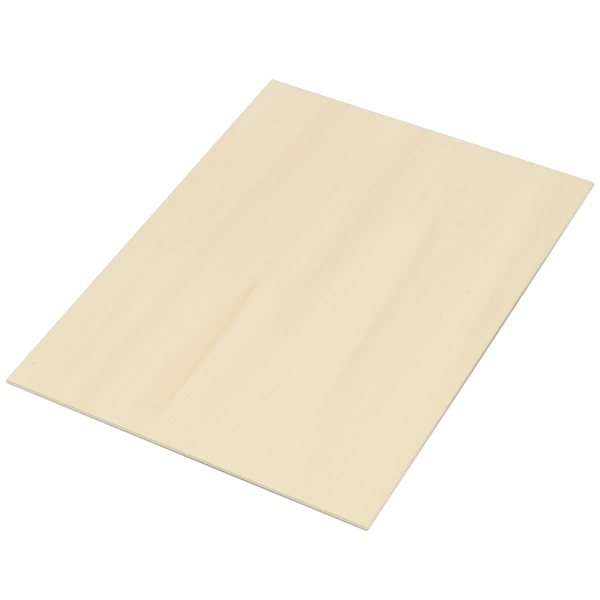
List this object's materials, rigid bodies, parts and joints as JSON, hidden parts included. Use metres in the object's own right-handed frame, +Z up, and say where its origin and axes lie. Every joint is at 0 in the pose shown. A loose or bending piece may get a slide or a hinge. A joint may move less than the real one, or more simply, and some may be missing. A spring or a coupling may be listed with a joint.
{
  "type": "plywood sheet",
  "caption": "Thin flat rectangular sheet of pale plywood with cross-laid veneers, sawn square edges and a smooth sanded face, used as stock for cutting and gluing.",
  "frame": {"origin": "centre of the underside of the sheet", "axes": "+Z up out of the good face, +Y along the sheet and its face grain, +X across the sheet"},
  "size_m": [0.3, 0.4, 0.003],
  "materials": {
    "face_wood": "sanded, unfinished pale veneer, grain along the sheet",
    "core_wood": "unsanded pale veneer, grain across the sheet, sawn at the edges",
    "back_wood": "sanded, unfinished pale veneer of a plainer grade, grain along the sheet"
  },
  "bodies": {
    "root": {"face_veneer": "face_wood", "core_veneer": "core_wood", "back_veneer": "back_wood"}
  },
  "joints": []
}
